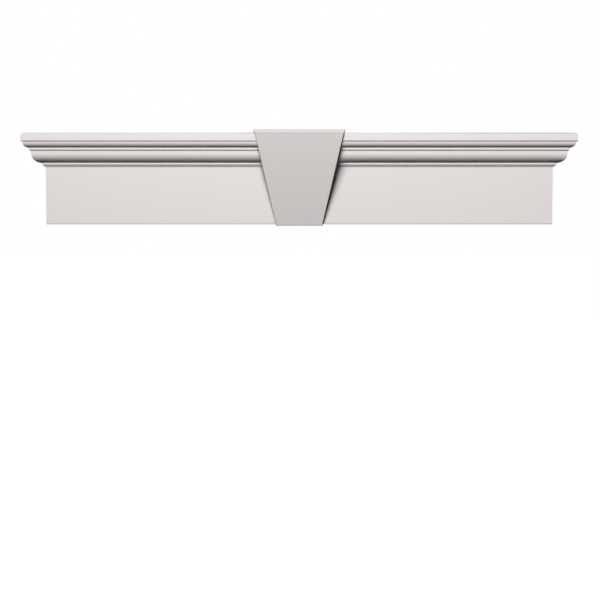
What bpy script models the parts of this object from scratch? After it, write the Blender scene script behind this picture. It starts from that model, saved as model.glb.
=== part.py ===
"""Window header: a moulded cornice over a flat frieze, with a tapered keystone laid over its middle.

The back lies in the wall plane, y = 0, and the front faces -Y. The origin is the middle of the back.
Both pieces are hollow mouldings, open at the back, and every face that runs from front to back has draft.
"""

import math

import bmesh
import bpy
from mathutils import Vector

# Header: overall sizes, in metres
HEADER_HEIGHT = 0.1524
FRIEZE_WIDTH = 0.838
PROJECTION = 0.068
FRIEZE_DEPTH = 0.0314
DRAFT = math.radians(2.0)
HEADER_WALL = 0.0025
EDGE_RADIUS = 0.0005
EDGE_SEGMENTS = 2

# Header: the bands of the cornice, from the top down
TOP_FALL = 0.0021
FASCIA_HEIGHT = 0.0124
FASCIA_STEP = 0.0026
UPPER_FACE = 0.0003
UPPER_OVOLO = 0.0097
UPPER_FILLET = 0.0052
FILLET_STEP = 0.0030
LOWER_FACE = 0.0039
LOWER_OVOLO = 0.0160
LOWER_FILLET = 0.0046
BED_STEP = 0.0030
BED_ROUND = 0.0023
STEP_FALL = 0.0001
OVOLO_SEGMENTS = 12
BED_SEGMENTS = 5
BED_SEGMENTS_BEHIND = 1

# Header: how round the lower edges of the bands and of the frieze are
FASCIA_RADIUS = 0.0025
UPPER_FILLET_RADIUS = 0.0029
LOWER_FILLET_RADIUS = 0.0029
FRIEZE_RADIUS = 0.0011
LOWER_EDGE_SEGMENTS = 4

# Header: stiffening webs behind the face, eleven upright and one level at mid-height
WEB_PITCH = 0.076
WEBS_EACH_SIDE = 5
WEB_THICKNESS = 0.0024
MIDDLE_WEB_THICKNESS = 0.006

# Keystone, measured at its front edges and from the header's lower edge
KEY_TOP_WIDTH = 0.1458
KEY_BOTTOM_WIDTH = 0.0749
KEY_TOP_HEIGHT = 0.1546
KEY_BOTTOM_HEIGHT = -0.0012
KEY_TOP_DEPTH = 0.077
KEY_BOTTOM_DEPTH = 0.038
KEY_DRAFT = math.radians(2.6)
KEY_WALL = 0.0020
KEY_EDGE_RADIUS = 0.0006
KEY_EDGE_SEGMENTS = 3
KEY_WEB_THICKNESS = 0.0020

# Fit between the two, and how far a cutter runs out at the back
GAP = 0.0003
CUT_PAST = 0.005

# Edges sharper than this are rounded, and faces flatter than that are one face
SHARP = math.radians(28)
FLAT = math.radians(0.01)
IN_PLANE = 1e-6

# The directions that the webs are set out along
ACROSS = Vector((1, 0, 0))
UP = Vector((0, 0, 1))

# Heights are measured from the header's lower edge, which lies this far below the origin
LOWER_EDGE = -HEADER_HEIGHT / 2

HEADER_COLOUR = (0.86, 0.84, 0.835, 1.0)
KEYSTONE_COLOUR = (0.84, 0.82, 0.815, 1.0)
POLYMER_ROUGHNESS = 0.5


def clear_scene():
    """Removes every object of the scene."""
    for obj in list(bpy.data.objects):
        bpy.data.objects.remove(obj, do_unlink=True)


def make_collection(name):
    """A new collection in the scene."""
    collection = bpy.data.collections.new(name)
    bpy.context.scene.collection.children.link(collection)
    return collection


def make_material(name, colour):
    """Matt polymer, through-coloured."""
    material = bpy.data.materials.new(name)
    material.use_nodes = True
    shader = material.node_tree.nodes["Principled BSDF"]
    shader.inputs["Base Color"].default_value = colour
    shader.inputs["Roughness"].default_value = POLYMER_ROUGHNESS
    shader.inputs["Metallic"].default_value = 0.0
    return material


def quarter_round(depth, height, radius, segments):
    """A convex quarter round, from its upright top to its level foot, as (depth, height) points."""
    points = []
    for step in range(segments + 1):
        turn = math.pi / 2 * step / segments
        points.append((depth - radius * (1 - math.cos(turn)), height - radius * math.sin(turn)))
    return points


def lower_edge(depth, height, radius, eased):
    """The lower edge of a band as (depth, height) points, rounded where it is eased and otherwise sharp."""
    if not eased:
        return [(depth, height)]
    return quarter_round(depth, height + radius, radius, LOWER_EDGE_SEGMENTS)


def header_profile(eased, bed_segments):
    """The front profile from the cornice's top edge to the frieze's lower edge, as (depth, height) points.

    Where it is eased, the lower edges of the fascia, the fillets and the frieze are rounded. The small
    round over the frieze is drawn in the given number of straight pieces.
    """
    height = HEADER_HEIGHT - TOP_FALL
    depth = PROJECTION
    profile = [(depth, height)]
    height -= FASCIA_HEIGHT
    profile += lower_edge(depth, height, FASCIA_RADIUS, eased)
    depth -= FASCIA_STEP
    height -= STEP_FALL
    profile.append((depth, height))
    upper = quarter_round(depth, height - UPPER_FACE, UPPER_OVOLO, OVOLO_SEGMENTS)
    depth, height = upper[-1]
    profile += upper
    height -= UPPER_FILLET
    profile += lower_edge(depth, height, UPPER_FILLET_RADIUS, eased)
    depth -= FILLET_STEP
    height -= STEP_FALL
    profile.append((depth, height))
    lower = quarter_round(depth, height - LOWER_FACE, LOWER_OVOLO, OVOLO_SEGMENTS)
    depth, height = lower[-1]
    profile += lower
    height -= LOWER_FILLET
    profile += lower_edge(depth, height, LOWER_FILLET_RADIUS, eased)
    bed = quarter_round(depth - BED_STEP, height - STEP_FALL, BED_ROUND, bed_segments)
    bed[-1] = (FRIEZE_DEPTH, bed[-1][1])
    profile += bed
    underside = FRIEZE_DEPTH - FRIEZE_RADIUS if eased else FRIEZE_DEPTH
    profile += lower_edge(FRIEZE_DEPTH, underside * math.tan(DRAFT), FRIEZE_RADIUS, eased)
    return profile


def offset_profile(profile, distance):
    """The profile moved outwards by a distance, inwards where it is negative, with its corners kept sharp."""
    path = [Vector((0.0, HEADER_HEIGHT))]
    path += [Vector(point) for point in profile]
    path.append(Vector((0.0, 0.0)))
    moved = []
    for before, here, after in zip(path, path[1:], path[2:]):
        along_in = (here - before).normalized()
        along_out = (after - here).normalized()
        normal_in = Vector((-along_in.y, along_in.x))
        normal_out = Vector((-along_out.y, along_out.x))
        half_way = (normal_in + normal_out).normalized()
        reach = distance / half_way.dot(normal_in)
        moved.append((here.x + half_way.x * reach, here.y + half_way.y * reach))
    return moved


def return_loop(point, rise, past):
    """One profile point led round the header: back left, front left, front right, back right."""
    depth, height = point
    run = depth + past
    half = FRIEZE_WIDTH / 2 + depth - FRIEZE_DEPTH
    back_half = half + run * math.tan(DRAFT)
    front = LOWER_EDGE + height
    back = front + run * rise
    return [
        Vector((-back_half, past, back)),
        Vector((-half, -depth, front)),
        Vector((half, -depth, front)),
        Vector((back_half, past, back)),
    ]


def mitred_block(offset, past, eased=False):
    """The closed solid inside the profile moved by an offset, its back a distance past the wall plane.

    Moved inwards, the profile has a plain slope for the round over the frieze, which is smaller than the wall.
    """
    mesh = bmesh.new()
    bed_segments = BED_SEGMENTS if offset >= 0 else BED_SEGMENTS_BEHIND
    profile = offset_profile(header_profile(eased, bed_segments), offset)
    rises = [TOP_FALL / PROJECTION] + [-math.tan(DRAFT)] * (len(profile) - 1)
    rows = []
    for point, rise in zip(profile, rises):
        rows.append([mesh.verts.new(place) for place in return_loop(point, rise, past)])
    for upper, lower in zip(rows, rows[1:]):
        for side in range(len(upper)):
            mesh.faces.new((upper[side - 1], lower[side - 1], lower[side], upper[side]))
    mesh.faces.new(rows[0])
    mesh.faces.new(reversed(rows[-1]))
    bmesh.ops.dissolve_limit(mesh, angle_limit=FLAT, verts=mesh.verts, edges=mesh.edges)
    bmesh.ops.recalc_face_normals(mesh, faces=mesh.faces)
    return mesh


def in_wall_plane(edge):
    """Whether an edge lies in the wall plane."""
    return all(abs(vert.co.y) < IN_PLANE for vert in edge.verts)


def rounded(mesh, radius, segments):
    """Rounds the sharp outer edges of a mesh, apart from those in the wall plane."""
    sharp = [edge for edge in mesh.edges if edge.is_convex and edge.calc_face_angle(0.0) > SHARP]
    bmesh.ops.bevel(
        mesh,
        geom=[edge for edge in sharp if not in_wall_plane(edge)],
        offset=radius,
        offset_type="OFFSET",
        segments=segments,
        profile=0.5,
        affect="EDGES",
        clamp_overlap=True,
        material=-1,
    )
    return mesh


def sliced(mesh, axis, low, high):
    """The part of a closed mesh between two places along an axis, closed again."""
    for place, outwards in ((low, -axis), (high, axis)):
        geometry = list(mesh.verts) + list(mesh.edges) + list(mesh.faces)
        cut = bmesh.ops.bisect_plane(
            mesh, geom=geometry, plane_co=axis * place, plane_no=outwards, clear_outer=True
        )
        rim = [item for item in cut["geom_cut"] if isinstance(item, bmesh.types.BMEdge)]
        bmesh.ops.contextual_create(mesh, geom=rim)
    bmesh.ops.recalc_face_normals(mesh, faces=mesh.faces)
    return mesh


def joined(meshes):
    """Several bmeshes put into one."""
    whole = bmesh.new()
    for mesh in meshes:
        data = bpy.data.meshes.new("part")
        mesh.to_mesh(data)
        mesh.free()
        whole.from_mesh(data)
        bpy.data.meshes.remove(data)
    return whole


def web(place, thickness):
    """A web's two sides, as low and high places along the direction it is set out in."""
    return place - thickness / 2, place + thickness / 2


def spaces(webs, reach):
    """The spaces before, between and past the webs, out to a reach either way."""
    starts = [-reach] + [high for low, high in webs]
    ends = [low for low, high in webs] + [reach]
    return list(zip(starts, ends))


def cells(make_block, upright_webs, level_webs):
    """The hollows that the webs leave in a block."""
    hollows = []
    for left, right in spaces(upright_webs, FRIEZE_WIDTH):
        for bottom, top in spaces(level_webs, HEADER_HEIGHT):
            column = sliced(make_block(), ACROSS, left, right)
            hollows.append(sliced(column, UP, bottom, top))
    return joined(hollows)


def header_cells():
    """The hollows behind the header's face."""
    webs = []
    for index in range(-WEBS_EACH_SIDE, WEBS_EACH_SIDE + 1):
        webs.append(web(index * WEB_PITCH, WEB_THICKNESS if index else MIDDLE_WEB_THICKNESS))
    return cells(lambda: mitred_block(-HEADER_WALL, CUT_PAST), webs, [web(0.0, WEB_THICKNESS)])


def key_corners(inset, past):
    """The eight corners of the keystone's block, moved inwards by an inset, its back past the wall plane."""
    span = KEY_TOP_HEIGHT - KEY_BOTTOM_HEIGHT
    taper = (KEY_TOP_WIDTH - KEY_BOTTOM_WIDTH) / 2 / span
    slope = (KEY_TOP_DEPTH - KEY_BOTTOM_DEPTH) / span
    ends = {"top": (KEY_TOP_HEIGHT - inset, 1), "bottom": (KEY_BOTTOM_HEIGHT + inset, -1)}
    corners = {}
    for end, (height, outwards) in ends.items():
        above = height - KEY_BOTTOM_HEIGHT
        depth = KEY_BOTTOM_DEPTH + above * slope - inset * math.hypot(1, slope)
        half = KEY_BOTTOM_WIDTH / 2 + above * taper - inset * math.hypot(1, taper)
        front = LOWER_EDGE + height
        spread = (depth + past) * math.tan(KEY_DRAFT)
        back = front + outwards * spread
        back_half = half + spread * (1 + outwards * taper)
        for side in (-1, 1):
            corners[end, "front", side] = Vector((side * half, -depth, front))
            corners[end, "back", side] = Vector((side * back_half, past, back))
    return corners


def key_block(inset, past):
    """The keystone's block as a closed solid."""
    mesh = bmesh.new()
    bmesh.ops.create_cube(mesh, size=2)
    corners = key_corners(inset, past)
    for vert in mesh.verts:
        end = "top" if vert.co.z > 0 else "bottom"
        row = "front" if vert.co.y < 0 else "back"
        side = 1 if vert.co.x > 0 else -1
        vert.co = corners[end, row, side]
    return mesh


def key_cells():
    """The hollows behind the keystone's face, with an upright and a level web between them."""
    middle = web(0.0, KEY_WEB_THICKNESS)
    return cells(lambda: key_block(KEY_WALL, CUT_PAST), [middle], [middle])


def header_room():
    """The header's profile with the gap round it, over the width that the keystone covers."""
    return sliced(mitred_block(GAP, CUT_PAST), ACROSS, -KEY_TOP_WIDTH, KEY_TOP_WIDTH)


def make_object(name, mesh, collection):
    """An object from a bmesh, its rounds shaded smooth."""
    data = bpy.data.meshes.new(name)
    mesh.to_mesh(data)
    mesh.free()
    data.shade_smooth()
    data.set_sharp_from_angle(angle=SHARP)
    obj = bpy.data.objects.new(name, data)
    collection.objects.link(obj)
    return obj


def make_cutter(name, mesh, collection):
    """A helper that only cuts."""
    cutter = make_object(name, mesh, collection)
    cutter.hide_render = True
    cutter.display_type = "WIRE"
    return cutter


def cut(obj, cutter):
    """Takes a cutter's shape out of an object."""
    modifier = obj.modifiers.new("Cut " + cutter.name, "BOOLEAN")
    modifier.operation = "DIFFERENCE"
    modifier.solver = "EXACT"
    modifier.object = cutter


def make_header(parts, cutters):
    """The header: a mitred moulding, hollow behind, with webs across the hollow."""
    mesh = rounded(mitred_block(0.0, 0.0, eased=True), EDGE_RADIUS, EDGE_SEGMENTS)
    header = make_object("header", mesh, parts)
    header.data.materials.append(make_material("header polymer", HEADER_COLOUR))
    cut(header, make_cutter("header_cells", header_cells(), cutters))


def make_keystone(parts, cutters):
    """The keystone: a tapered hollow block, cut to sit over the header."""
    mesh = rounded(key_block(0.0, 0.0), KEY_EDGE_RADIUS, KEY_EDGE_SEGMENTS)
    keystone = make_object("keystone", mesh, parts)
    keystone.data.materials.append(make_material("keystone polymer", KEYSTONE_COLOUR))
    cut(keystone, make_cutter("keystone_cells", key_cells(), cutters))
    cut(keystone, make_cutter("header_room", header_room(), cutters))


def main():
    """Builds the whole header."""
    clear_scene()
    parts = make_collection("window_header")
    cutters = make_collection("cutters")
    make_header(parts, cutters)
    make_keystone(parts, cutters)


main()
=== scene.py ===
"""Looks of a white window header: a stepped cornice over a flat frieze, with a keystone over its middle.

Both pieces are hollow polymer mouldings with an open back that lies in the wall plane, y = 0. The header
faces -Y. Lengths are in metres, and heights in a profile are measured from the header's lower edge.
"""

import logging
import math
from collections.abc import Callable, Iterable
from dataclasses import dataclass, replace
from enum import Enum
from functools import partial
from itertools import pairwise

import bmesh
import bpy
from mathutils import Matrix, Vector


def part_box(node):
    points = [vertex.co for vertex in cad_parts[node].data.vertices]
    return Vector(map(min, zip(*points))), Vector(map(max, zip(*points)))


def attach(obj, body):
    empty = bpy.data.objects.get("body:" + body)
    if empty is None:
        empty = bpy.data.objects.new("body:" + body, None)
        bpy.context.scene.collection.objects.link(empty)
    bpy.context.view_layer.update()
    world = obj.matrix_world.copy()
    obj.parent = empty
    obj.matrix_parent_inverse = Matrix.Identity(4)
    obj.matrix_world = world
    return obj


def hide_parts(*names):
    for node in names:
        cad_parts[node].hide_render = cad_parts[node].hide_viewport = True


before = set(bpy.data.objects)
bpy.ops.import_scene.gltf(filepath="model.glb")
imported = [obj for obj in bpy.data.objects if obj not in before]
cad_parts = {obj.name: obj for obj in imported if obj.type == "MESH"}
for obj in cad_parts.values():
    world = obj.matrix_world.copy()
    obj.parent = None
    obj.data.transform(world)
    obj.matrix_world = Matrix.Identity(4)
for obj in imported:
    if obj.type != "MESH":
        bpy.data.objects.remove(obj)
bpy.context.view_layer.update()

LOG = logging.getLogger("window_header")

ACROSS = Vector((1.0, 0.0, 0.0))
UP = Vector((0.0, 0.0, 1.0))
SAME_PLACE = 1e-5
SHARP = math.radians(30)
ROUND_BEVEL = 0.5
NOISE_MEAN = 0.5

WHITE = (1.0, 1.0, 1.0, 1.0)
MOULDED_WHITE = (0.85, 0.80, 0.795)
CLOUDED_WHITE = (0.84, 0.785, 0.78)
DULL_WHITE = (0.82, 0.78, 0.775)
CLOUDED_DULL = (0.80, 0.76, 0.755)
DULL_ROUGHNESS = 0.6
TO_THE_RIGHT = (0.7, 0.0, 0.0)


class Turn(Enum):
    """Which way a profile turns at a corner, seen along its path from the top edge to the lower edge."""

    OUTWARD = 1
    INWARD = -1


@dataclass(frozen=True)
class Corner:
    """A corner of a profile: where its two straight sides would meet, and the radius it is rounded to.

    Args:
        depth: distance in front of the wall plane.
        height: distance above the header's lower edge.
        radius: radius of the rounding, nothing for an end of the profile.
    """

    depth: float
    height: float
    radius: float = 0.0

    @property
    def place(self) -> Vector:
        """The corner as a flat vector of depth and height."""
        return Vector((self.depth, self.height))


@dataclass(frozen=True)
class Profile:
    """A front profile from the wall plane over the top edge, down the face and back to the wall plane.

    Args:
        corners: the corners in order, the first and the last in the wall plane.
        lower_edge: height of the header's lower edge in the frame.
        facet: longest straight piece of a rounded corner.
        least_steps: fewest straight pieces in a rounded corner.
    """

    corners: tuple[Corner, ...]
    lower_edge: float
    facet: float = 0.0005
    least_steps: int = 5

    def turns(self) -> Iterable[tuple[Corner, Vector, Vector, Turn]]:
        """Each inner corner with the directions of its two sides and the way it turns.

        Returns:
            The corner, the direction into it, the direction out of it and its turn, one after the other.
        """
        for before, corner, after in zip(self.corners, self.corners[1:], self.corners[2:]):
            into = (corner.place - before.place).normalized()
            onward = (after.place - corner.place).normalized()
            yield corner, into, onward, Turn.OUTWARD if into.angle_signed(onward) > 0 else Turn.INWARD

    def moved(self, distance: float, least_radius: float) -> "Profile":
        """The profile that runs beside this one at a distance, its rounds about the same centres.

        Args:
            distance: how far it lies outside this one, below nothing for inside.
            least_radius: the smallest radius that a corner keeps.

        Returns:
            The new profile.
        """
        first, last = self.corners[0], self.corners[-1]
        moved = [Corner(first.depth, first.height + distance)]
        for corner, into, onward, turn in self.turns():
            outside_in = Vector((-into.y, into.x))
            outside_on = Vector((-onward.y, onward.x))
            half_way = (outside_in + outside_on).normalized()
            place = corner.place + half_way * (distance / half_way.dot(outside_in))
            radius = max(corner.radius + distance * turn.value, least_radius)
            moved.append(Corner(place.x, place.y, radius))
        moved.append(Corner(last.depth, last.height - distance))
        return replace(self, corners=tuple(moved)).fitted()

    def fitted(self) -> "Profile":
        """The profile with smaller roundings where two of them would meet on a short side.

        Returns:
            The new profile.
        """
        reaches = [0.0]
        for corner, into, onward, _ in self.turns():
            reaches.append(corner.radius * math.tan(abs(into.angle_signed(onward)) / 2))
        reaches.append(0.0)
        shares = []
        for (here, there), taken in zip(pairwise(self.corners), pairwise(reaches)):
            shares.append(min(1.0, (there.place - here.place).length / sum(taken)))
        fitted = [self.corners[0]]
        for corner, sides in zip(self.corners[1:], pairwise(shares)):
            fitted.append(replace(corner, radius=corner.radius * min(sides)))
        return replace(self, corners=(*fitted, self.corners[-1]))

    def drawn(self, mesh: bmesh.types.BMesh) -> None:
        """Draws the profile as a wire in the middle plane, by extruding and spinning its tip.

        Args:
            mesh: the empty mesh to draw in.
        """
        tip = None
        for corner, into, onward, turn in self.turns():
            angle = into.angle_signed(onward)
            start = corner.place - into * corner.radius * math.tan(abs(angle) / 2)
            centre = start + Vector((into.y, -into.x)) * corner.radius * turn.value
            if tip is None:
                tip = mesh.verts.new(self.in_frame(start))
            else:
                tip = bmesh.ops.extrude_vert_indiv(mesh, verts=[tip])["verts"][0]
                tip.co = self.in_frame(start)
            steps = max(self.least_steps, math.ceil(corner.radius * abs(angle) / self.facet))
            spun = bmesh.ops.spin(
                mesh, geom=[tip], cent=self.in_frame(centre), axis=ACROSS, angle=angle, steps=steps
            )
            tip = spun["geom_last"][0]
        bmesh.ops.remove_doubles(mesh, verts=mesh.verts, dist=SAME_PLACE)

    def in_frame(self, point: Vector) -> Vector:
        """A point of the profile in the frame's middle plane."""
        return Vector((0.0, -point.x, self.lower_edge + point.y))


class ProfilePath:
    """Steps out a profile's corners from the cornice's top edge, down and back to the frieze."""

    def __init__(self, depth: float, height: float, radius: float) -> None:
        """Starts at the top edge.

        Args:
            depth: the top edge's depth.
            height: its height.
            radius: its rounding.
        """
        self.depth = depth
        self.height = height
        self.corners = [Corner(depth, height, radius)]

    def down(self, fall: float, radius: float) -> None:
        """Goes straight down to the next corner.

        Args:
            fall: how far down.
            radius: the corner's rounding.
        """
        self.height -= fall
        self.corners.append(Corner(self.depth, self.height, radius))

    def back(self, run: float, fall: float, radius: float) -> None:
        """Goes towards the wall, with a slight fall, to the next corner.

        Args:
            run: how far towards the wall.
            fall: how far down on the way.
            radius: the corner's rounding.
        """
        self.depth -= run
        self.height -= fall
        self.corners.append(Corner(self.depth, self.height, radius))


@dataclass(frozen=True)
class CorniceBands:
    """The bands of the cornice, from the top down, and the rounding of its edges.

    Args:
        top_fall: how far the top falls from the wall to the front.
        fascia: height of the upright face at the top.
        fascia_step: how far the first step under it goes back.
        upper_face: height of the short flat above the upper ovolo.
        upper_ovolo: radius of the upper ovolo, a quarter round.
        upper_fillet: height of the fillet under it.
        fillet_step: how far the step under the fillet goes back.
        lower_face: height of the plain band above the lower ovolo.
        lower_ovolo: radius of the lower ovolo, a quarter round.
        lower_fillet: height of the fillet under it.
        bed_step: how far the step under that fillet goes back.
        bed_round: radius of the small round over the frieze.
        step_fall: how far the underside of a step falls towards the wall.
        edge_radius: rounding of the top edge.
        fascia_radius: rounding of the fascia's lower edge.
        upper_fillet_radius: rounding of the upper fillet's lower edge.
        lower_fillet_radius: rounding of the lower fillet's lower edge.
        frieze_radius: rounding of the frieze's lower edge.
        root_radius: rounding of the inner corners.
    """

    top_fall: float = 0.0021
    fascia: float = 0.0124
    fascia_step: float = 0.0026
    upper_face: float = 0.0003
    upper_ovolo: float = 0.0097
    upper_fillet: float = 0.0052
    fillet_step: float = 0.0030
    lower_face: float = 0.0039
    lower_ovolo: float = 0.0160
    lower_fillet: float = 0.0046
    bed_step: float = 0.0030
    bed_round: float = 0.0023
    step_fall: float = 0.0001
    edge_radius: float = 0.0006
    fascia_radius: float = 0.0025
    upper_fillet_radius: float = 0.0029
    lower_fillet_radius: float = 0.0029
    frieze_radius: float = 0.0011
    root_radius: float = 0.0001


@dataclass(frozen=True)
class Webs:
    """Stiffening webs behind a face: their middles along one direction, and their thicknesses.

    Args:
        thickness: thickness of each web.
        pitch: distance between webs.
        each_side: number of webs on each side of the middle one.
        middle_thickness: thickness of the middle web.
    """

    thickness: float
    pitch: float = 0.0
    each_side: int = 0
    middle_thickness: float = 0.0

    def spaces(self, reach: float) -> list[tuple[float, float]]:
        """The spaces before, between and past the webs.

        Args:
            reach: how far the first and the last space run out.

        Returns:
            Each space's low and high end.
        """
        low, spaces = -reach, []
        for index in range(-self.each_side, self.each_side + 1):
            half = (self.thickness if index else self.middle_thickness or self.thickness) / 2
            spaces.append((low, index * self.pitch - half))
            low = index * self.pitch + half
        spaces.append((low, reach))
        return spaces


def led_on(mesh: bmesh.types.BMesh, edges: list[bmesh.types.BMEdge]) -> list[bmesh.types.BMVert]:
    """Extrudes edges on the spot.

    Args:
        mesh: the mesh.
        edges: the edges to extrude.

    Returns:
        The new vertices, ready to be moved.
    """
    made = bmesh.ops.extrude_edge_only(mesh, edges=edges)["geom"]
    return [item for item in made if isinstance(item, bmesh.types.BMVert)]


def close_back(mesh: bmesh.types.BMesh) -> None:
    """Closes a profile sheet that has been led round three sides, with a top, an underside and a back.

    Args:
        mesh: the sheet, open along its top, its underside and its two wall edges.
    """
    open_edges = [edge for edge in mesh.edges if edge.is_boundary]
    back = max(vert.co.y for vert in mesh.verts)
    wall_edges = [
        edge for edge in open_edges if all(back - vert.co.y < SAME_PLACE for vert in edge.verts)
    ]
    rims = [edge for edge in open_edges if edge not in wall_edges]
    tips = [vert for vert in mesh.verts if sum(edge in wall_edges for edge in vert.link_edges) == 1]
    tips.sort(key=lambda vert: (vert.co.z, vert.co.x))
    middle = sum(vert.co.z for vert in tips) / len(tips)
    seams = []
    for pair in (tips[:2], tips[2:]):
        seam = mesh.edges.new(pair)
        seams.append(seam)
        above = pair[0].co.z > middle
        rim = [edge for edge in rims if (edge.verts[0].co.z > middle) == above]
        bmesh.ops.contextual_create(mesh, geom=[*rim, seam])
    bmesh.ops.contextual_create(mesh, geom=[*wall_edges, *seams])
    bmesh.ops.recalc_face_normals(mesh, faces=mesh.faces)


def sliced(mesh: bmesh.types.BMesh, axis: Vector, low: float, high: float) -> bmesh.types.BMesh:
    """Keeps the part of a closed mesh between two places along an axis, and closes it again.

    Args:
        mesh: the closed mesh.
        axis: the direction the places are measured along.
        low: the lower place.
        high: the higher place.

    Returns:
        The same mesh.
    """
    for place, outwards in ((low, -axis), (high, axis)):
        geometry = [*mesh.verts, *mesh.edges, *mesh.faces]
        cut = bmesh.ops.bisect_plane(
            mesh, geom=geometry, plane_co=axis * place, plane_no=outwards, clear_outer=True
        )
        rim = [item for item in cut["geom_cut"] if isinstance(item, bmesh.types.BMEdge)]
        bmesh.ops.contextual_create(mesh, geom=rim)
    bmesh.ops.recalc_face_normals(mesh, faces=mesh.faces)
    return mesh


def joined(meshes: Iterable[bmesh.types.BMesh]) -> bmesh.types.BMesh:
    """Several meshes put into one.

    Args:
        meshes: the meshes, which are used up.

    Returns:
        The one mesh.
    """
    whole = bmesh.new()
    for mesh in meshes:
        data = bpy.data.meshes.new("part")
        mesh.to_mesh(data)
        mesh.free()
        whole.from_mesh(data)
        bpy.data.meshes.remove(data)
    return whole


def cells(
    make_block: Callable[[], bmesh.types.BMesh],
    upright: Webs,
    level: Webs,
    reach: float,
) -> bmesh.types.BMesh:
    """The hollows that webs leave in a block.

    Args:
        make_block: makes the block that the webs cross.
        upright: the webs that stand upright.
        level: the webs that lie level.
        reach: a distance past the block every way.

    Returns:
        The hollows as one mesh of separate solids.
    """
    hollows = []
    for left, right in upright.spaces(reach):
        for bottom, top in level.spaces(reach):
            column = sliced(make_block(), ACROSS, left, right)
            hollows.append(sliced(column, UP, bottom, top))
    return joined(hollows)


def carved(
    name: str,
    body: bmesh.types.BMesh,
    cutters: Iterable[bmesh.types.BMesh],
    face: bpy.types.Material,
    inside: bpy.types.Material,
) -> bpy.types.Object:
    """A piece from a closed body with hollows cut out of it, shaded smooth between its sharp edges.

    Args:
        name: the piece's name.
        body: the closed body.
        cutters: closed meshes to take out of it.
        face: the material of the body's own faces.
        inside: the material of the cut faces.

    Returns:
        The piece, with its place in its mesh.
    """
    piece = as_object(name, body, face)
    helpers = [as_object(f"{name}_hollow", cutter, inside) for cutter in cutters]
    piece.data.materials.append(inside)
    for helper in helpers:
        cut = piece.modifiers.new(helper.name, "BOOLEAN")
        cut.operation = "DIFFERENCE"
        cut.solver = "EXACT"
        cut.material_mode = "TRANSFER"
        cut.object = helper
    bpy.context.view_layer.update()
    shape = bpy.data.meshes.new_from_object(piece.evaluated_get(bpy.context.evaluated_depsgraph_get()))
    piece.modifiers.clear()
    piece.data = shape
    shape.name = name
    for helper in helpers:
        bpy.data.objects.remove(helper, do_unlink=True)
    shape.shade_smooth()
    shape.set_sharp_from_angle(angle=SHARP)
    weighted = piece.modifiers.new("even shading", "WEIGHTED_NORMAL")
    weighted.keep_sharp = True
    return piece


def as_object(name: str, mesh: bmesh.types.BMesh, material: bpy.types.Material) -> bpy.types.Object:
    """An object from a mesh, in the scene.

    Args:
        name: the object's name.
        mesh: the mesh, which is used up.
        material: its material.

    Returns:
        The object.
    """
    data = bpy.data.meshes.new(name)
    mesh.to_mesh(data)
    mesh.free()
    data.materials.append(material)
    made = bpy.data.objects.new(name, data)
    bpy.context.scene.collection.objects.link(made)
    return made


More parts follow.
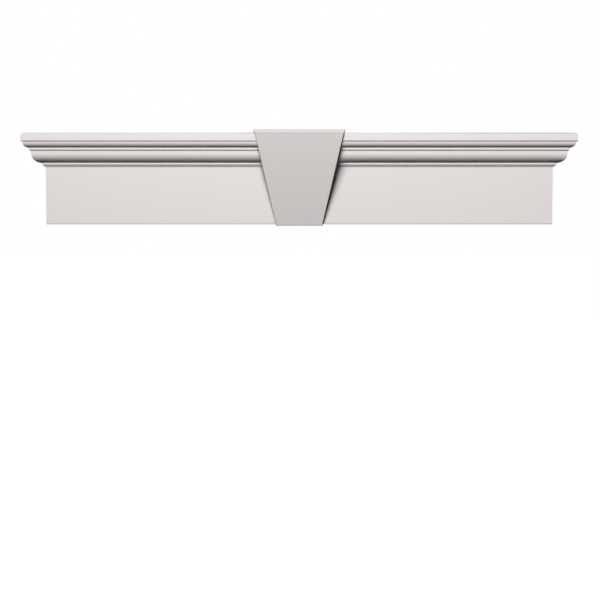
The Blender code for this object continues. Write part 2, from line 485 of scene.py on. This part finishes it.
@dataclass(frozen=True)
class HeaderMoulding:
    """The header: a profile led round three sides of a hollow box, with webs behind its face.

    Args:
        height: height from the lower edge to the top at the wall.
        projection: depth of the cornice's front face.
        lower_edge: height of the lower edge in the frame.
        frieze_width: width of the frieze's face.
        frieze_depth: depth of the frieze's face.
        draft: how much the ends and the underside open towards the wall.
        wall: thickness of the wall behind the profile.
        mitre_rounding: width of the rounding along the mitred corners.
        mitre_segments: number of straight pieces in that rounding.
        bands: the bands of the cornice.
        upright_webs: the upright webs behind the face.
        level_webs: the level webs behind the face.
        cut_past: how far a cutter reaches past the wall plane.
    """

    height: float
    projection: float
    lower_edge: float
    frieze_width: float = 0.838
    frieze_depth: float = 0.0314
    draft: float = math.radians(2.0)
    wall: float = 0.0025
    mitre_rounding: float = 0.0008
    mitre_segments: int = 4
    bands: CorniceBands = CorniceBands()
    upright_webs: Webs = Webs(thickness=0.0024, pitch=0.076, each_side=5, middle_thickness=0.006)
    level_webs: Webs = Webs(thickness=0.0024)
    cut_past: float = 0.005

    def profile(self) -> Profile:
        """The front profile.

        Returns:
            The profile, from the top at the wall to the underside at the wall.
        """
        bands = self.bands
        root = bands.root_radius
        path = ProfilePath(self.projection, self.height - bands.top_fall, bands.edge_radius)
        path.down(bands.fascia, bands.fascia_radius)
        path.back(bands.fascia_step, bands.step_fall, root)
        path.down(bands.upper_face + bands.upper_ovolo, bands.upper_ovolo - root)
        path.back(bands.upper_ovolo, 0.0, root)
        path.down(bands.upper_fillet, bands.upper_fillet_radius)
        path.back(bands.fillet_step, bands.step_fall, root)
        path.down(bands.lower_face + bands.lower_ovolo, bands.lower_ovolo - root)
        path.back(bands.lower_ovolo, 0.0, root)
        path.down(bands.lower_fillet, bands.lower_fillet_radius)
        path.back(bands.bed_step, bands.step_fall, root)
        path.down(bands.bed_round, bands.bed_round - root)
        path.back(path.depth - self.frieze_depth, 0.0, root)
        path.down(path.height - self.frieze_depth * math.tan(self.draft), bands.frieze_radius)
        ends = Corner(0.0, self.height), Corner(0.0, 0.0)
        return Profile((ends[0], *path.corners, ends[1]), self.lower_edge)

    def mitre(self, vert: bmesh.types.BMVert) -> float:
        """How far from the middle the mitre lies at a vertex's depth."""
        return self.frieze_width / 2 - vert.co.y - self.frieze_depth

    def rise(self, profile: Profile, height: float) -> float:
        """How steeply an end return climbs towards the wall: up along the top, down everywhere below.

        Args:
            profile: the profile that is led round.
            height: height in the frame.

        Returns:
            The climb in metres for each metre towards the wall.
        """
        top = profile.corners[1]
        share = (height - profile.lower_edge - top.height + top.radius) / top.radius
        lowest, highest = -math.tan(self.draft), self.bands.top_fall / self.projection
        return lowest + (highest - lowest) * min(max(share, 0.0), 1.0)

    def block(self, profile: Profile, past: float) -> bmesh.types.BMesh:
        """The closed solid behind a profile.

        Args:
            profile: the profile that is led round.
            past: how far the back lies past the wall plane.

        Returns:
            The mesh.
        """
        mesh = bmesh.new()
        profile.drawn(mesh)
        right = led_on(mesh, list(mesh.edges))
        for vert in right:
            vert.co.x = self.mitre(vert)
        ends = led_on(mesh, [edge for edge in mesh.edges if all(vert in right for vert in edge.verts)])
        for vert in ends:
            run = past - vert.co.y
            rise = self.rise(profile, vert.co.z)
            vert.co += Vector((run * math.tan(self.draft), run, run * rise))
        geometry = [*mesh.verts, *mesh.edges, *mesh.faces]
        bmesh.ops.mirror(mesh, geom=geometry, matrix=Matrix.Identity(4), merge_dist=SAME_PLACE, axis="X")
        close_back(mesh)
        return mesh

    def solid(self) -> bmesh.types.BMesh:
        """The header's outside, its mitred corners rounded in plan.

        Returns:
            The closed mesh.
        """
        mesh = self.block(self.profile(), 0.0)
        mitres = [edge for edge in mesh.edges if all(self.on_mitre(vert) for vert in edge.verts)]
        bmesh.ops.bevel(
            mesh,
            geom=mitres,
            offset=self.mitre_rounding,
            offset_type="ABSOLUTE",
            segments=self.mitre_segments,
            profile=ROUND_BEVEL,
            affect="EDGES",
            material=-1,
        )
        bmesh.ops.recalc_face_normals(mesh, faces=mesh.faces)
        return mesh

    def on_mitre(self, vert: bmesh.types.BMVert) -> bool:
        """Whether a vertex lies on a mitre line."""
        return vert.co.y < -SAME_PLACE and abs(abs(vert.co.x) - self.mitre(vert)) < SAME_PLACE

    def hollows(self) -> bmesh.types.BMesh:
        """The hollows behind the face.

        Returns:
            The mesh to cut out.
        """
        inner = self.profile().moved(-self.wall, self.bands.root_radius)
        block = partial(self.block, inner, self.cut_past)
        return cells(block, self.upright_webs, self.level_webs, self.frieze_width)

    def build(self, face: bpy.types.Material, inside: bpy.types.Material) -> bpy.types.Object:
        """Builds the header.

        Args:
            face: the material of the outside.
            inside: the material of the hollow side.

        Returns:
            The piece.
        """
        piece = carved("header_moulding", self.solid(), [self.hollows()], face, inside)
        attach(piece, "root")
        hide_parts("header")
        return piece


@dataclass(frozen=True)
class Keystone:
    """The keystone: a tapered hollow block whose face leans back towards its foot.

    Args:
        lower_edge: height of the header's lower edge in the frame.
        header: the header it lies over.
        top_width: width of its face at the top.
        bottom_width: width of its face at the foot.
        top_height: height of its top above the header's lower edge.
        bottom_height: height of its foot above the header's lower edge.
        top_depth: depth of its face at the top.
        bottom_depth: depth of its face at the foot.
        draft: how much its sides open towards the wall.
        wall: thickness of its walls.
        edge_radius: rounding of its edges.
        edge_segments: number of straight pieces in that rounding.
        gap: clearance between it and the header.
        webs: its webs, one upright and one level.
    """

    lower_edge: float
    header: HeaderMoulding
    top_width: float = 0.1458
    bottom_width: float = 0.0749
    top_height: float = 0.1546
    bottom_height: float = -0.0012
    top_depth: float = 0.077
    bottom_depth: float = 0.038
    draft: float = math.radians(2.6)
    wall: float = 0.0020
    edge_radius: float = 0.0007
    edge_segments: int = 5
    gap: float = 0.0003
    webs: Webs = Webs(thickness=0.0020)

    def block(self, inset: float, past: float) -> bmesh.types.BMesh:
        """The keystone's block, from a cube whose corners are moved into place.

        Args:
            inset: how far every face but the back lies inside the keystone's own.
            past: how far the back lies past the wall plane.

        Returns:
            The closed mesh.
        """
        span = self.top_height - self.bottom_height
        taper = (self.top_width - self.bottom_width) / 2 / span
        lean = (self.top_depth - self.bottom_depth) / span
        mesh = bmesh.new()
        bmesh.ops.create_cube(mesh, size=2)
        for vert in mesh.verts:
            side, row, end = (math.copysign(1.0, along) for along in vert.co)
            height = self.top_height - inset if end > 0 else self.bottom_height + inset
            above = height - self.bottom_height
            depth = self.bottom_depth + above * lean - inset * math.hypot(1, lean)
            half = self.bottom_width / 2 + above * taper - inset * math.hypot(1, taper)
            if row > 0:
                spread = (depth + past) * math.tan(self.draft)
                depth = -past
                height += end * spread
                half += spread * (1 + end * taper)
            vert.co = Vector((side * half, -depth, self.lower_edge + height))
        return mesh

    def solid(self) -> bmesh.types.BMesh:
        """The keystone's outside, its edges rounded apart from those in the wall plane.

        Returns:
            The closed mesh.
        """
        mesh = self.block(0.0, 0.0)
        edges = [edge for edge in mesh.edges if any(vert.co.y < -SAME_PLACE for vert in edge.verts)]
        bmesh.ops.bevel(
            mesh,
            geom=edges,
            offset=self.edge_radius,
            offset_type="OFFSET",
            segments=self.edge_segments,
            profile=ROUND_BEVEL,
            affect="EDGES",
            material=-1,
        )
        return mesh

    def hollows(self) -> bmesh.types.BMesh:
        """The hollows behind the face.

        Returns:
            The mesh to cut out.
        """
        block = partial(self.block, self.wall, self.header.cut_past)
        return cells(block, self.webs, self.webs, self.header.frieze_width)

    def header_room(self) -> bmesh.types.BMesh:
        """The header's shape with the gap round it, over the width that the keystone covers.

        Returns:
            The mesh to cut out.
        """
        around = self.header.profile().moved(self.gap, self.header.bands.root_radius / 2)
        block = self.header.block(around, self.header.cut_past)
        return sliced(block, ACROSS, -self.top_width, self.top_width)

    def build(self, face: bpy.types.Material, inside: bpy.types.Material) -> bpy.types.Object:
        """Builds the keystone.

        Args:
            face: the material of the outside.
            inside: the material of the hollow side.

        Returns:
            The piece.
        """
        cutters = [self.hollows(), self.header_room()]
        piece = carved("keystone_moulding", self.solid(), cutters, face, inside)
        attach(piece, "root")
        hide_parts("keystone")
        return piece


class Effect:
    """A shader node group with named inputs and outputs, built node by node."""

    def __init__(self, name: str) -> None:
        """Starts an empty group.

        Args:
            name: the group's name.
        """
        self.tree = bpy.data.node_groups.new(name, "ShaderNodeTree")
        self.source = self.tree.nodes.new("NodeGroupInput")
        self.result = self.tree.nodes.new("NodeGroupOutput")

    def takes(self, name: str, kind: str) -> bpy.types.NodeSocket:
        """Adds an input.

        Args:
            name: its name.
            kind: its socket type without the word NodeSocket.

        Returns:
            The socket inside the group that gives it.
        """
        self.tree.interface.new_socket(name, in_out="INPUT", socket_type=f"NodeSocket{kind}")
        return self.source.outputs[name]

    def gives(self, name: str, kind: str, socket: bpy.types.NodeSocket) -> None:
        """Adds an output.

        Args:
            name: its name.
            kind: its socket type without the word NodeSocket.
            socket: the socket inside the group that feeds it.
        """
        self.tree.interface.new_socket(name, in_out="OUTPUT", socket_type=f"NodeSocket{kind}")
        self.tree.links.new(socket, self.result.inputs[name])

    def noise(
        self,
        vector: bpy.types.NodeSocket,
        scale: bpy.types.NodeSocket | float,
        detail: float,
        roughness: float,
    ) -> bpy.types.NodeSocket:
        """Adds a noise texture.

        Args:
            vector: the coordinates it reads.
            scale: its scale, in turns a metre.
            detail: its number of octaves.
            roughness: how much the finer octaves weigh.

        Returns:
            Its grey value, around one half.
        """
        node = self.tree.nodes.new("ShaderNodeTexNoise")
        node.inputs["Detail"].default_value = detail
        node.inputs["Roughness"].default_value = roughness
        self.feed(vector, node.inputs["Vector"])
        self.feed(scale, node.inputs["Scale"])
        return node.outputs["Fac"]

    def math(
        self,
        operation: str,
        first: bpy.types.NodeSocket | float,
        second: bpy.types.NodeSocket | float,
    ) -> bpy.types.NodeSocket:
        """Adds a calculation with two values.

        Args:
            operation: the Math node's operation.
            first: the first value.
            second: the second value.

        Returns:
            The result.
        """
        node = self.tree.nodes.new("ShaderNodeMath")
        node.operation = operation
        self.feed(first, node.inputs[0])
        self.feed(second, node.inputs[1])
        return node.outputs[0]

    def feed(self, value: bpy.types.NodeSocket | float, into: bpy.types.NodeSocket) -> None:
        """Links a socket to an input, or sets the input to a plain value.

        Args:
            value: the socket or the plain value.
            into: the input.
        """
        if isinstance(value, bpy.types.NodeSocket):
            self.tree.links.new(value, into)
        else:
            into.default_value = value


def moulded_grain() -> bpy.types.NodeTree:
    """The fine grain that a polished steel mould leaves on polymer, as a height in metres.

    Returns:
        The node group. In: Vector, Size and Depth of the fine grain, and how many Times wider and Times
        deeper the broad grain is. Out: Height.
    """
    effect = Effect("Moulded grain")
    vector = effect.takes("Vector", "Vector")
    size = effect.takes("Size", "Float")
    depth = effect.takes("Depth", "Float")
    times_wider = effect.takes("Times wider", "Float")
    times_deeper = effect.takes("Times deeper", "Float")
    scale = effect.math("DIVIDE", 1.0, size)
    fine = effect.noise(vector, scale, detail=3.0, roughness=0.6)
    broad = effect.noise(vector, effect.math("DIVIDE", scale, times_wider), detail=2.0, roughness=0.5)
    both = effect.math("ADD", fine, effect.math("MULTIPLY", broad, times_deeper))
    effect.gives("Height", "Float", effect.math("MULTIPLY", both, depth))
    return effect.tree


def flow_mottle() -> bpy.types.NodeTree:
    """The faint cloudiness of through-coloured polymer, along the way it flowed in the mould.

    Returns:
        The node group, with Vector, Size, Base and Clouded in and Colour out.
    """
    effect = Effect("Flow mottle")
    vector = effect.takes("Vector", "Vector")
    size = effect.takes("Size", "Float")
    colour = effect.takes("Base", "Color")
    clouded = effect.takes("Clouded", "Color")
    share = effect.noise(vector, effect.math("DIVIDE", 1.0, size), detail=4.0, roughness=0.55)
    mix = effect.tree.nodes.new("ShaderNodeMix")
    mix.data_type = "RGBA"
    effect.feed(share, mix.inputs["Factor"])
    effect.feed(colour, mix.inputs["A"])
    effect.feed(clouded, mix.inputs["B"])
    effect.gives("Colour", "Color", mix.outputs["Result"])
    return effect.tree


def uneven_sheen() -> bpy.types.NodeTree:
    """Small differences in sheen over a moulded face.

    Returns:
        The node group, with Vector, Size, Roughness and Spread in and Roughness out.
    """
    effect = Effect("Uneven sheen")
    vector = effect.takes("Vector", "Vector")
    size = effect.takes("Size", "Float")
    middle = effect.takes("Roughness", "Float")
    spread = effect.takes("Spread", "Float")
    grey = effect.noise(vector, effect.math("DIVIDE", 1.0, size), detail=3.0, roughness=0.5)
    off_middle = effect.math("MULTIPLY", effect.math("SUBTRACT", grey, NOISE_MEAN), spread)
    effect.gives("Roughness", "Float", effect.math("ADD", middle, off_middle))
    return effect.tree


@dataclass(frozen=True)
class MouldedPolymer:
    """White through-coloured polymer, as it leaves the mould.

    Args:
        name: the material's name.
        colour: its colour.
        clouded: its colour where the flow left it a little darker.
        roughness: its mean roughness.
        spread: how far the roughness varies.
        mottle_size: width of a cloud in its colour.
        sheen_size: width of a patch in its sheen.
        grain_size: width of a fine grain.
        grain_depth: height of a fine grain.
        broad_wider: how many times wider the broad grain is.
        broad_deeper: how many times deeper it is.
        stretch: scale of the clouds and patches along the three axes, small where they are long.
        bump_strength: share of the grain's slope that shows.
    """

    name: str
    colour: tuple[float, float, float]
    clouded: tuple[float, float, float]
    roughness: float = 0.45
    spread: float = 0.08
    mottle_size: float = 0.12
    sheen_size: float = 0.05
    grain_size: float = 0.0006
    grain_depth: float = 0.000004
    broad_wider: float = 9.0
    broad_deeper: float = 2.0
    stretch: tuple[float, float, float] = (0.45, 1.0, 1.0)
    bump_strength: float = 0.6

    def material(self, effects: dict[str, bpy.types.NodeTree]) -> bpy.types.Material:
        """Makes the material.

        Args:
            effects: the shared node groups by name.

        Returns:
            The material.
        """
        made = bpy.data.materials.new(self.name)
        made.use_nodes = True
        tree = made.node_tree
        shader = tree.nodes["Principled BSDF"]
        place = tree.nodes.new("ShaderNodeTexCoord").outputs["Object"]
        along = tree.nodes.new("ShaderNodeMapping")
        along.inputs["Scale"].default_value = self.stretch
        tree.links.new(place, along.inputs["Vector"])

        mottle = self.effect(tree, effects["Flow mottle"], along.outputs["Vector"])
        mottle.inputs["Size"].default_value = self.mottle_size
        mottle.inputs["Base"].default_value = (*self.colour, 1.0)
        mottle.inputs["Clouded"].default_value = (*self.clouded, 1.0)
        tree.links.new(mottle.outputs["Colour"], shader.inputs["Base Color"])

        sheen = self.effect(tree, effects["Uneven sheen"], along.outputs["Vector"])
        sheen.inputs["Size"].default_value = self.sheen_size
        sheen.inputs["Roughness"].default_value = self.roughness
        sheen.inputs["Spread"].default_value = self.spread
        tree.links.new(sheen.outputs["Roughness"], shader.inputs["Roughness"])

        grain = self.effect(tree, effects["Moulded grain"], place)
        grain.inputs["Size"].default_value = self.grain_size
        grain.inputs["Depth"].default_value = self.grain_depth
        grain.inputs["Times wider"].default_value = self.broad_wider
        grain.inputs["Times deeper"].default_value = self.broad_deeper
        bump = tree.nodes.new("ShaderNodeBump")
        bump.inputs["Strength"].default_value = self.bump_strength
        bump.inputs["Distance"].default_value = 1.0
        tree.links.new(grain.outputs["Height"], bump.inputs["Height"])
        tree.links.new(bump.outputs["Normal"], shader.inputs["Normal"])
        return made

    def effect(
        self, tree: bpy.types.NodeTree, group: bpy.types.NodeTree, vector: bpy.types.NodeSocket
    ) -> bpy.types.Node:
        """Places a shared effect in a material.

        Args:
            tree: the material's nodes.
            group: the effect's node group.
            vector: the coordinates it reads.

        Returns:
            The group's node.
        """
        node = tree.nodes.new("ShaderNodeGroup")
        node.node_tree = group
        tree.links.new(vector, node.inputs["Vector"])
        return node


@dataclass(frozen=True)
class SoftPanel:
    """A soft rectangular light.

    Args:
        name: the light's name.
        azimuth: direction it stands in, from straight in front to the right, in degrees.
        elevation: height above the horizon, in degrees.
        width: its width.
        height: its height.
        distance: its distance from the header's middle.
        power: its power in watts.
        aim: the point it is turned to.
        mirrored: whether the pieces' sheen shows it.
    """

    name: str
    azimuth: float
    elevation: float
    width: float
    height: float
    distance: float
    power: float
    aim: tuple[float, float, float] = (0.0, 0.0, 0.0)
    mirrored: bool = True

    def build(self) -> bpy.types.Object:
        """Places the light.

        Returns:
            The light.
        """
        data = bpy.data.lights.new(self.name, "AREA")
        data.shape = "RECTANGLE"
        data.size = self.width
        data.size_y = self.height
        data.energy = self.power
        light = bpy.data.objects.new(self.name, data)
        azimuth, elevation = math.radians(self.azimuth), math.radians(self.elevation)
        flat = math.cos(elevation)
        towards = Vector((math.sin(azimuth) * flat, -math.cos(azimuth) * flat, math.sin(elevation)))
        light.location = towards * self.distance
        light.rotation_euler = (light.location - Vector(self.aim)).to_track_quat("Z", "Y").to_euler()
        light.visible_camera = False
        light.visible_glossy = self.mirrored
        bpy.context.scene.collection.objects.link(light)
        return light


@dataclass(frozen=True)
class Studio:
    """Plain soft light: two panels in front, one on the left, two on the right and two at the back.

    Args:
        key: the main light, above and a little to the left of the camera.
        fill: a weaker light below the main one.
        left: a light for the left sides.
        low_right: a weak light for the keystone's right side.
        right: a light for the right end, too far back to reach the front.
        back: a light from above and behind, which the top mirrors towards the front.
        low_back: a light for the hollow side.
        surround: brightness of the white surroundings, as far as they light the pieces.
    """

    key: SoftPanel = SoftPanel(
        "key", -8.2, 42.7, width=0.50, height=0.74, distance=2.5, power=46.5, aim=TO_THE_RIGHT
    )
    fill: SoftPanel = SoftPanel(
        "fill", -3.5, 31.2, width=0.36, height=0.73, distance=2.5, power=27.6, aim=TO_THE_RIGHT
    )
    left: SoftPanel = SoftPanel(
        "left", -90.0, 0.0, width=1.0, height=1.0, distance=3.0, power=24.0, mirrored=False
    )
    low_right: SoftPanel = SoftPanel(
        "low right", 90.0, 0.0, width=1.0, height=1.0, distance=3.0, power=9.0, mirrored=False
    )
    right: SoftPanel = SoftPanel("right", 104.0, 20.0, width=1.8, height=2.0, distance=4.0, power=60.0)
    back: SoftPanel = SoftPanel("back", 190.0, 10.0, width=2.5, height=2.0, distance=4.0, power=16.0)
    low_back: SoftPanel = SoftPanel(
        "low back", 180.0, -12.0, width=1.4, height=0.8, distance=4.0, power=50.0, mirrored=False
    )
    surround: float = 0.02

    def build(self, keystone: bpy.types.Object) -> None:
        """Lights the scene. Only the keystone throws a shadow from the lights in front and at the sides.

        Args:
            keystone: the keystone piece.
        """
        blockers = bpy.data.collections.new("shade from the front lights")
        blockers.objects.link(keystone)
        for panel in (self.key, self.fill, self.left, self.low_right):
            panel.build().light_linking.blocker_collection = blockers
        for panel in (self.right, self.back, self.low_back):
            panel.build()
        self.surroundings()

    def surroundings(self) -> None:
        """White all round to the camera, and dim to everything else."""
        world = bpy.data.worlds.new("studio")
        world.use_nodes = True
        bpy.context.scene.world = world
        tree = world.node_tree
        background = tree.nodes["Background"]
        path = tree.nodes.new("ShaderNodeLightPath")
        mix = tree.nodes.new("ShaderNodeMix")
        mix.data_type = "RGBA"
        mix.inputs["A"].default_value = (self.surround, self.surround, self.surround, 1.0)
        mix.inputs["B"].default_value = WHITE
        tree.links.new(path.outputs["Is Camera Ray"], mix.inputs["Factor"])
        tree.links.new(mix.outputs["Result"], background.inputs["Color"])


@dataclass(frozen=True)
class StudioFloor:
    """A plain white floor, well below the header.

    Args:
        height: its height in the frame.
        width: its width both ways.
        grey: its brightness.
    """

    height: float = -1.0
    width: float = 30.0
    grey: float = 0.9

    def build(self) -> bpy.types.Object:
        """Lays the floor.

        Returns:
            The floor.
        """
        material = bpy.data.materials.new("white floor")
        material.use_nodes = True
        shader = material.node_tree.nodes["Principled BSDF"]
        shader.inputs["Base Color"].default_value = (self.grey, self.grey, self.grey, 1.0)
        shader.inputs["Roughness"].default_value = 1.0
        shader.inputs["Emission Color"].default_value = WHITE
        shader.inputs["Emission Strength"].default_value = 1.0
        material.cycles.emission_sampling = "NONE"
        mesh = bmesh.new()
        bmesh.ops.create_grid(mesh, x_segments=1, y_segments=1, size=self.width / 2)
        bmesh.ops.translate(mesh, verts=mesh.verts, vec=UP * self.height)
        floor = as_object("floor", mesh, material)
        floor.visible_diffuse = False
        floor.visible_glossy = False
        return floor


@dataclass(frozen=True)
class PhotoCamera:
    """The camera, level with the cornice's top and turned down, which sets the header high in the picture.

    Args:
        distance: distance from the wall plane.
        eye_height: height of the camera in the frame.
        picture_width: width of the photograph, in pixels.
        focal_pixels: focal length in the photograph's pixels.
        level_row: row of the photograph at eye level.
        middle_column: column of the photograph on the header's middle.
        sensor: width of the camera's sensor, in millimetres.
    """

    distance: float = 3.4
    eye_height: float = 0.0738
    picture_width: float = 600.0
    focal_pixels: float = 2034.0
    level_row: float = 134.04
    middle_column: float = 299.3
    sensor: float = 36.0

    def build(self) -> bpy.types.Object:
        """Places the camera.

        Returns:
            The camera.
        """
        data = bpy.data.cameras.new("camera")
        data.sensor_width = self.sensor
        data.lens = self.sensor * self.focal_pixels / self.picture_width
        camera = bpy.data.objects.new("camera", data)
        half = self.picture_width / 2
        pitch = math.atan((half - self.level_row) / self.focal_pixels)
        yaw = math.atan((half - self.middle_column) / self.focal_pixels)
        camera.location = (0.0, -self.distance, self.eye_height)
        camera.rotation_euler = (math.pi / 2 - pitch, 0.0, -yaw)
        bpy.context.scene.collection.objects.link(camera)
        bpy.context.scene.camera = camera
        return camera


def main() -> None:
    """Builds the camera, the two pieces and the studio round them."""
    logging.basicConfig(level=logging.INFO, format="%(name)s: %(message)s")
    bpy.context.scene.view_settings.view_transform = "Standard"
    PhotoCamera().build()
    effects = {tree.name: tree for tree in (moulded_grain(), flow_mottle(), uneven_sheen())}

    low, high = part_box("header")
    header = HeaderMoulding(height=high.z - low.z, projection=-low.y, lower_edge=low.z)
    keystone = Keystone(lower_edge=low.z, header=header)

    pieces = []
    for name, moulding in (("header", header), ("keystone", keystone)):
        face = MouldedPolymer(f"{name} face", MOULDED_WHITE, CLOUDED_WHITE)
        inside = MouldedPolymer(f"{name} inside", DULL_WHITE, CLOUDED_DULL, roughness=DULL_ROUGHNESS)
        piece = moulding.build(face.material(effects), inside.material(effects))
        piece.visible_diffuse = False
        LOG.info("%s: %d faces", piece.name, len(piece.data.polygons))
        pieces.append(piece)

    Studio().build(pieces[-1])
    StudioFloor().build()


if __name__ == "__main__":
    main()
